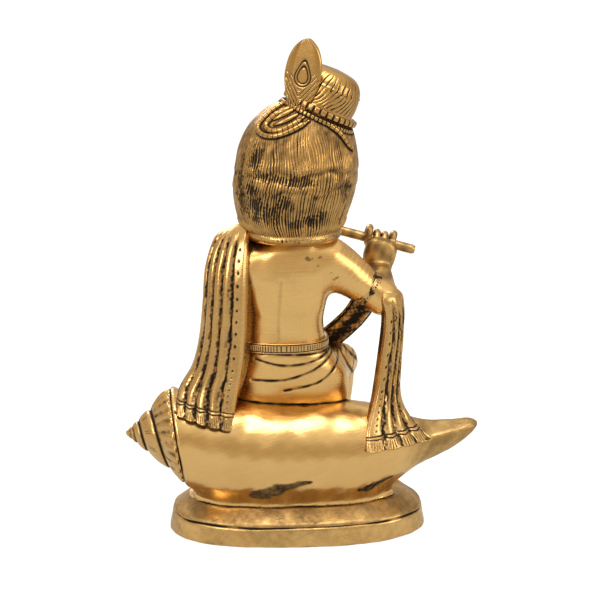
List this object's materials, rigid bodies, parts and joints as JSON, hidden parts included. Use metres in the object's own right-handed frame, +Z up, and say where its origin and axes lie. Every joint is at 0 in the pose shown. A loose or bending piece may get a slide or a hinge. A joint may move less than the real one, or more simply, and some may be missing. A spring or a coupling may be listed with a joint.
{
  "type": "brass deity statuette",
  "caption": "Cast brass figure of a child deity with topknot, feather and shawl, playing a flute while seated on a conch on an oval plinth",
  "frame": {"origin": "middle of the plinth's footprint box on the surface it stands on", "axes": "+Z up, the figure faces -Y, the conch's spire points to +X and its tail to -X"},
  "size_m": [0.1816, 0.074, 0.2542],
  "materials": {
    "polished_brass": "polished",
    "satin_brass": "satin",
    "chased_brass": "patinated",
    "ornament_brass": "polished",
    "dowel_brass": "turned"
  },
  "bodies": {
    "root": {"plinth": "polished_brass", "conch_body": "polished_brass", "conch_spire": "chased_brass", "hips": "satin_brass", "torso": "satin_brass", "head": "chased_brass", "topknot": "chased_brass", "topknot_beads": "ornament_brass", "feather": "ornament_brass", "left_swag": "ornament_brass", "right_swag": "ornament_brass", "right_forearm": "satin_brass", "left_forearm": "satin_brass", "flute": "polished_brass", "right_shin": "satin_brass", "left_shin": "satin_brass", "left_shawl": "chased_brass", "right_shawl": "chased_brass", "front_shawl": "chased_brass", "waist_band": "ornament_brass", "right_armlet": "ornament_brass", "left_armlet": "ornament_brass", "right_bracelet": "ornament_brass", "left_bracelet": "ornament_brass", "necklace": "ornament_brass", "right_earring": "ornament_brass", "left_earring": "ornament_brass", "right_anklet": "ornament_brass", "left_anklet": "ornament_brass", "joint_dowels": "dowel_brass"}
  },
  "joints": []
}
